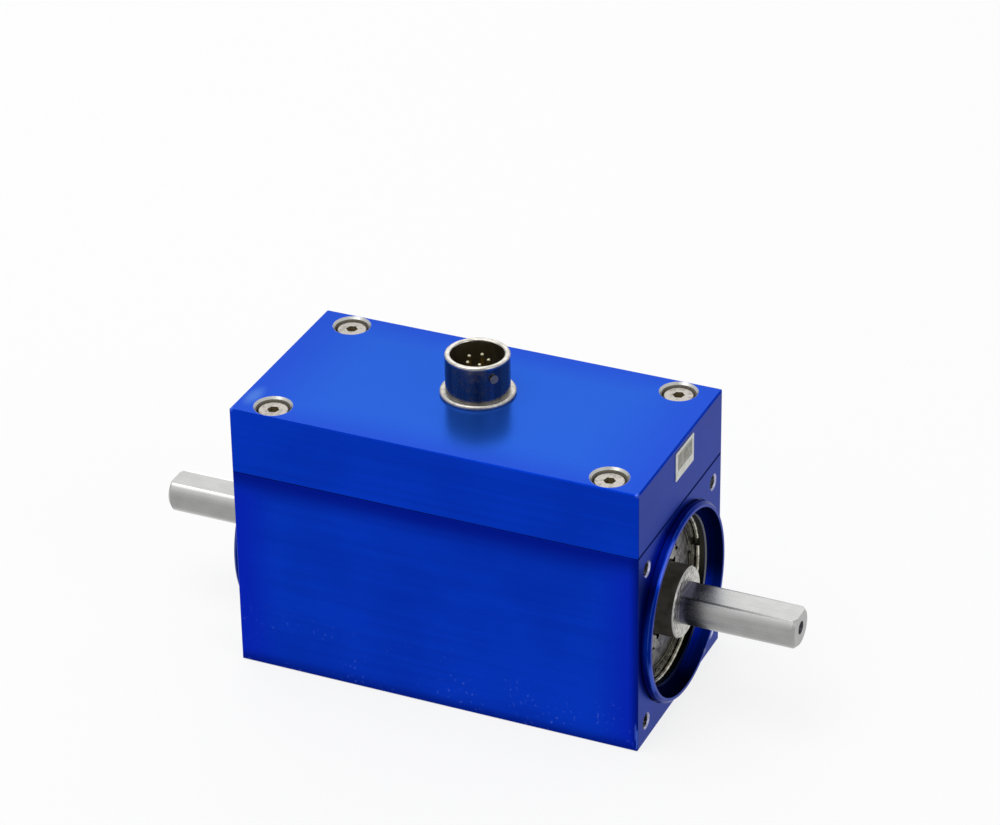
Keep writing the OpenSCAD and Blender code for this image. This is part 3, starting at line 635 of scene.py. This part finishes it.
def pinFinish():
    material, p = newFinish("pinPlating")
    tone = p.cloud(0.8, 3.0)
    tip = p.rise(p.z + (tone - 0.5) * 0.6, *pin["tipZ"])
    colour = p.blend(tip, pin["gold"], pin["tip"])
    p.finish(colour, 0.26 + tone * 0.14, 1.0, p.cloud(0.2, 2.0), 0.000003)
    return material


wear(pinFinish(), "connector_pins")

shaftSteel = {
    "pale": (0.355, 0.355, 0.35, 1.0),
    "grey": (0.305, 0.305, 0.302, 1.0),
    "rubbed": (0.66, 0.66, 0.65, 1.0),  # painted highlight beside the flat and below
    "edge": (0.85, 0.85, 0.83, 1.0),  # painted highlight on the left flat's edges
    "journal": (0.150, 0.142, 0.130, 1.0),
    "journalDark": (0.085, 0.080, 0.070, 1.0),
    "root": (0.080, 0.078, 0.165, 1.0),  # painted shade with a blue painted reflection where the ends leave the housing
    # painted dark reflection along the right flat's edges, also dirt in the centre holes
    "line": (0.040, 0.040, 0.045, 1.0),
    "face": (0.62, 0.61, 0.58, 1.0),  # the shoulder in front of a journal
    "faceSpeck": (0.18, 0.18, 0.15, 1.0),
    "lines": (0.45, 2.0, (0.02, 1.0, 1.0)),
    "journalR": (8.0, 8.2),
    "beyondJournalX": (51.30, 51.36),
    "faceX": (51.64, 51.76, 0.04),
    "faceR": (5.02, 5.10),
    "speckSide": (24.0, 34.0),  # z - y, more specks up towards -y
    "rootX": (53.0, 58.5),
    "rootFromX": (51.7, 51.8),
    "beyondRootR": (5.03, 5.12),
    "upperZ": (26.9, 29.1),
    "aboveLowerZ": (20.8, 23.6),
    "rightX": (-1.0, 1.0),
    "skinR": (4.85, 4.95),
    "flatEdge": (3.47, 29.1),  # y and z of the flats' edges
    "beyondEdge": (0.2, 0.6),
    "beyondLeftX": (-60.0, -55.0),
    "beyondDarkEdge": (0.18, 0.42),
    "darkEdgeFromX": (51.8, 52.0),
    "darkEdgeToX": (58.0, 86.0),
    "beyondCentreR": (1.57, 1.64),
    "centreX": (74.0, 74.5),
}


def shaftFinish():
    material, p = newFinish("shaftSteel")
    ax = abs(p.x)
    radius = p.reach(p.y, p.z - shaftAxis)

    def past(value, name):
        return p.rise(value, *shaftSteel[name])

    def before(value, name):
        return p.fall(value, *shaftSteel[name])

    lines = p.cloud(*shaftSteel["lines"])
    tone = p.cloud(4.0, 3.0) * 0.6 + lines * 0.4
    colour = p.blend(p.rise(tone, 0.32, 0.68), shaftSteel["grey"], shaftSteel["pale"])

    # painted shade with a blue painted reflection at the roots, specked shoulders and smoky journals
    rootShade = before(ax + (p.cloud(3.0, 3.0) - 0.5) * 4.0, "rootX")
    rootShade = rootShade * past(ax, "rootFromX") * before(radius, "beyondRootR")
    colour = p.blend(rootShade * 0.85, colour, shaftSteel["root"])
    face = p.band(ax, *shaftSteel["faceX"]) * past(radius, "faceR")
    speck = p.rise(p.cloud(1.1, 3.0), 0.42, 0.58) * (0.4 + past(p.z - p.y, "speckSide") * 0.6)
    colour = p.blend(face, colour, p.blend(speck, shaftSteel["face"], shaftSteel["faceSpeck"]))
    journal = past(radius, "journalR") * before(ax, "beyondJournalX")
    smoke = p.blend(p.rise(p.cloud(3.5, 3.0), 0.35, 0.65), shaftSteel["journalDark"], shaftSteel["journal"])
    colour = p.blend(journal, colour, smoke)

    # painted highlights as pale strips beside the flats and below, the lower one weaker on the right end
    glintStrip = past(p.z, "upperZ") * 0.7 + before(p.z, "aboveLowerZ") * (0.8 - past(p.x, "rightX") * 0.35)
    glintStrip = glintStrip * past(radius, "skinR") * past(ax, "rootX")
    colour = p.blend(glintStrip, colour, shaftSteel["rubbed"])

    # painted highlights on the left flat's edges, a painted dark reflection along the right flat's edges
    # fading outwards, dirty centre holes
    edgeY, edgeZ = shaftSteel["flatEdge"]
    edge = p.reach(abs(p.y) - edgeY, p.z - edgeZ) + (p.cloud(1.5, 2.0) - 0.5) * 0.2
    colour = p.blend(before(edge, "beyondEdge") * before(p.x, "beyondLeftX"), colour, shaftSteel["edge"])
    darkEdge = before(edge, "beyondDarkEdge") * past(p.x, "darkEdgeFromX") * before(p.x, "darkEdgeToX")
    centre = before(radius, "beyondCentreR") * past(ax, "centreX")
    colour = p.blend((darkEdge * 0.8).most(centre), colour, shaftSteel["line"])
    roughness = 0.27 + (tone - 0.5) * 0.12 + face * 0.2 + journal * 0.12
    p.finish(colour, roughness, 1 - journal * 0.35, lines, 0.000002)
    return material


wear(shaftFinish(), "torsion_shaft")

bearing = {
    "pale": (0.42, 0.41, 0.38, 1.0),
    "stained": (0.13, 0.125, 0.105, 1.0),
    "shield": (0.23, 0.222, 0.215, 1.0),
    "shieldPale": (0.42, 0.405, 0.395, 1.0),
    "wire": (0.60, 0.58, 0.49, 1.0),
    "wireDull": (0.30, 0.285, 0.23, 1.0),
    "clip": (0.070, 0.066, 0.048, 1.0),
    "clipPale": (0.13, 0.125, 0.095, 1.0),
    "gapShade": (0.006, 0.006, 0.007, 1.0),
    # painted shade spots at the right inner ring's edges: y and height from the axis
    "gapShadeSpots": ((7.9, 9.2), (6.1, 6.3), (-3.5, -8.2), (-6.3, -10.9)),
    "gapShadeReach": (0.85, 1.15),
    "gapShadeX": (30.0, 31.0),
}


# Turned steel: two tones in stains of about size mm, with rings pitch mm apart round the shaft's axis.
def turnedFinish(name, low, high, size, spread, roughness, pitch, depth, gapShaded=False):
    material, p = newFinish(name)
    rise = p.z - shaftAxis
    radius = p.reach(p.y, rise)
    stain = p.rise(p.cloud(size, 3.0), 0.5 - spread, 0.5 + spread)
    colour = p.blend(stain, low, high)
    rings = (radius * (2 * np.pi / pitch) + p.cloud(0.8, 2.0) * 3.0).wave()
    metallic, fixed = 1.0, {}
    # painted shade: dark spots at the right inner ring's edges
    if gapShaded:
        smear = (p.cloud(0.8, 2.0) - 0.5) * 0.6
        spots = 0.0
        for y, z in bearing["gapShadeSpots"]:
            spots = spots + p.fall(p.reach(p.y - y, rise - z) + smear, *bearing["gapShadeReach"])
        spots = spots.least(1.0) * p.rise(p.x, *bearing["gapShadeX"])
        colour = p.blend(spots, colour, bearing["gapShade"])
        metallic, fixed = 1 - spots, {"Specular IOR Level": 0.0}
    p.finish(colour, roughness + stain * 0.08, metallic, rings, depth, fixed)
    return material


ringFinish = turnedFinish(
    "ringSteel", bearing["stained"], bearing["pale"], 1.8, 0.24, 0.20, 0.11, 0.000003, True
)
shieldFinish = turnedFinish(
    "shieldSheet", bearing["shield"], bearing["shieldPale"], 2.4, 0.2, 0.28, 0.16, 0.000005, True
)
wireFinish = turnedFinish("springWire", bearing["wireDull"], bearing["wire"], 1.5, 0.12, 0.22, 0.2, 0.000002)
clipFinish = turnedFinish("clipWire", bearing["clip"], bearing["clipPale"], 1.5, 0.12, 0.26, 0.2, 0.000002)
for side in ("right", "left"):
    wear(ringFinish, side + "_outer_ring", side + "_inner_ring")
    wear(shieldFinish, side + "_shields")
    wear(clipFinish, side + "_shield_wires")
wear(wireFinish, "bearing_retainers")
print("finishes: screws, label, connector, shaft and bearings")

threads = {
    "radius": 2.0,
    "height": 0.34,
    "pitch": 0.7,
    "from": 49.35,
    "to": 44.9,
    "place": 20.25,  # of the holes, from the shaft's axis
    "stepsPerTurn": 28,
    "halfBase": 0.42,  # of the ridge, as a share of the pitch
    "bury": 0.02,  # depth of the ridge's foot in the wall
    "leastHeight": 0.06,  # share of the height at both ends, where the ridge runs out
}


# A triangular ridge carried along a helix from the left end inwards: at turn angle t its three points lie at
# x = pitch * t / full turn - start, half a base apart, two of them on the hole's wall and one nearer the axis
# by the ridge's height.
def threadMesh():
    pitch, steps, bury = threads["pitch"], threads["stepsPerTurn"], threads["bury"]
    turns = (threads["from"] - threads["to"]) / pitch
    count = int(turns * steps)
    angle = np.linspace(0.0, turns * 2 * np.pi, count)
    order = np.arange(count)
    fade = np.clip(np.minimum(order, order[::-1]) / steps, threads["leastHeight"], 1.0)
    offset = np.array([-1.0, 0.0, 1.0]) * threads["halfBase"] * pitch
    inward = np.array([0.0, 1.0, 0.0]) * (threads["height"] + bury)
    along = pitch * angle[:, None] / (2 * np.pi) - threads["from"] - offset[None, :]
    radius = threads["radius"] + bury - inward[None, :] * fade[:, None]
    turned = [along, radius * np.cos(angle)[:, None], radius * np.sin(angle)[:, None]]
    ring = np.stack(turned, axis=-1).reshape(-1, 3)

    step = order[:-1, None] * 3
    here = np.arange(3)[None, :]
    after = (here + 1) % 3
    quads = np.stack([step + here, step + after, step + 3 + after, step + 3 + here], axis=-1)
    quads = quads.reshape(-1, 4)[:, ::-1]
    caps = np.array([[0, 1, 2], [3 * count - 1, 3 * count - 2, 3 * count - 3]])
    points, faces = [], []
    for hole, (y, z) in enumerate([(-1, -1), (-1, 1), (1, -1), (1, 1)]):
        points.append(ring + np.array([0.0, y * threads["place"], shaftAxis + z * threads["place"]]))
        faces += (quads + hole * len(ring)).tolist() + (caps + hole * len(ring)).tolist()
    mesh = bpy.data.meshes.new("threads")
    mesh.from_pydata((np.concatenate(points) * 0.001).tolist(), [], faces)
    mesh.validate()
    return mesh


threadMaterial, threadPaint = newFinish("threadCut")
threadTone = threadPaint.cloud(0.7, 3.0)
threadPaint.finish(
    threadPaint.blend(threadPaint.rise(threadTone, 0.40, 0.70), anodised["grime"], anodised["bare"]),
    0.32 + threadTone * 0.1,
    1.0,
)
endThreads = bpy.data.objects.new("endThreads", threadMesh())
bpy.context.scene.collection.objects.link(endThreads)
endThreads.data.materials.append(threadMaterial)
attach(endThreads, "housing")
print("pieces: threads in the left end's holes")

studio = {
    "floorHalf": 4.0,
    "floorDrop": 0.00004,
    "floor": (0.95, 0.95, 0.95, 1.0),
    "white": (1.0, 1.0, 1.0, 1.0),
    "glow": 0.82,  # share of even white in the floor, the rest takes light and shadow
    "ambient": 0.42,
    # the unlit part of the room that metal reflects: its direction, its soft edge as a cosine and its strength
    "dim": ((0.354, -0.785, 0.497), (0.80, 0.95), 0.40),
    # lamps: place in metres, width and height in metres, watts
    "lamps": {
        "keyLamp": ((-0.30, -0.20, 1.30), (1.0, 1.0), 9.0),
        "backLamp": ((-0.30, 0.80, 0.75), (1.0, 0.5), 2.0),
        "sideLamp": ((0.95, -0.35, 0.55), (0.5, 0.7), 1.2),
    },
    "aim": (0.0, 0.0, 0.035),
}


def rayShare(p, *kinds):
    share = 0.0
    for kind in kinds:
        share = share + p.node("LightPath", out="Is " + kind + " Ray")
    return share.least(1.0)


world = bpy.data.worlds.new("studioWorld")
world.use_nodes = True
bpy.context.scene.world = world
p = Paint(world.node_tree)
toDim, dimEdge, dimmed = studio["dim"]
around = p.node("TexCoord", out="Generated")
towards = p.node("VectorMath", {"operation": "DOT_PRODUCT"}, {0: around, 1: toDim}, "Value")
mirrored = 1 - p.rise(towards, *dimEdge) * (1 - dimmed)
strength = studio["ambient"] + rayShare(p, "Camera", "Transmission") * (1 - studio["ambient"])
strength = strength + rayShare(p, "Glossy") * (mirrored - studio["ambient"])
sky = p.node("Background", None, {"Color": studio["white"], "Strength": strength}, "Background")
p.node("OutputWorld", None, {"Surface": sky}, None)

half, drop = studio["floorHalf"], studio["floorDrop"]
floorCorners = [(x * half, y * half, -drop) for x, y in ((-1, -1), (1, -1), (1, 1), (-1, 1))]
floorMesh = bpy.data.meshes.new("floor")
floorMesh.from_pydata(floorCorners, [], [(0, 1, 2, 3)])
floor = bpy.data.objects.new("floor", floorMesh)
bpy.context.scene.collection.objects.link(floor)
floorMaterial = bpy.data.materials.new("floorPaper")
floorMaterial.use_nodes = True
p = Paint(floorMaterial.node_tree)
paper = p.node("BsdfDiffuse", None, {"Color": studio["floor"]}, "BSDF")
glow = p.node("Emission", None, {"Color": studio["white"], "Strength": 1.0}, "Emission")
seen = rayShare(p, "Camera", "Glossy", "Transmission")
both = p.node("MixShader", None, {0: seen * studio["glow"], 1: paper, 2: glow}, "Shader")
p.node("OutputMaterial", None, {"Surface": both}, None)
floorMesh.materials.append(floorMaterial)


# lamps and the camera look along their own -z, with y up
def setDown(name, data, right, up, back, place):
    holder = bpy.data.objects.new(name, data)
    bpy.context.scene.collection.objects.link(holder)
    matrix = np.eye(4)
    matrix[:3] = np.column_stack([right, up, back, place])
    holder.matrix_world = Matrix(matrix.tolist())
    return holder


for name, (place, size, watts) in studio["lamps"].items():
    lamp = bpy.data.lights.new(name, "AREA")
    lamp.shape = "RECTANGLE"
    lamp.size, lamp.size_y = size
    lamp.energy = watts
    back = np.array(place) - np.array(studio["aim"])
    back = back / np.linalg.norm(back)
    right = np.cross((0.0, 0.0, 1.0), back)
    right = right / np.linalg.norm(right)
    setDown(name, lamp, right, np.cross(back, right), back, place)

# the camera's place, its right, down and forward directions, and its lens on a 36 mm wide sensor
view = {
    "place": (0.324692, -0.708791, 0.510933),
    "right": (0.91505, 0.40312, -0.01354),
    "down": (0.18982, -0.46001, -0.86738),
    "forward": (-0.35589, 0.79113, -0.49745),
    "lens": 142.30,
    "sensor": 36.0,
    "clip": (0.01, 50.0),
}
# the nearest three directions that stand square to each other
u, _, vt = np.linalg.svd(np.array([view["right"], view["down"], view["forward"]]))
right, down, forward = u @ vt
camera = bpy.data.cameras.new("camera")
camera.sensor_width = view["sensor"]
camera.lens = view["lens"]
camera.clip_start, camera.clip_end = view["clip"]
bpy.context.scene.camera = setDown("camera", camera, right, -down, -forward, view["place"])
bpy.context.scene.view_settings.view_transform = "Standard"
print("studio: floor, world, lamps and camera")
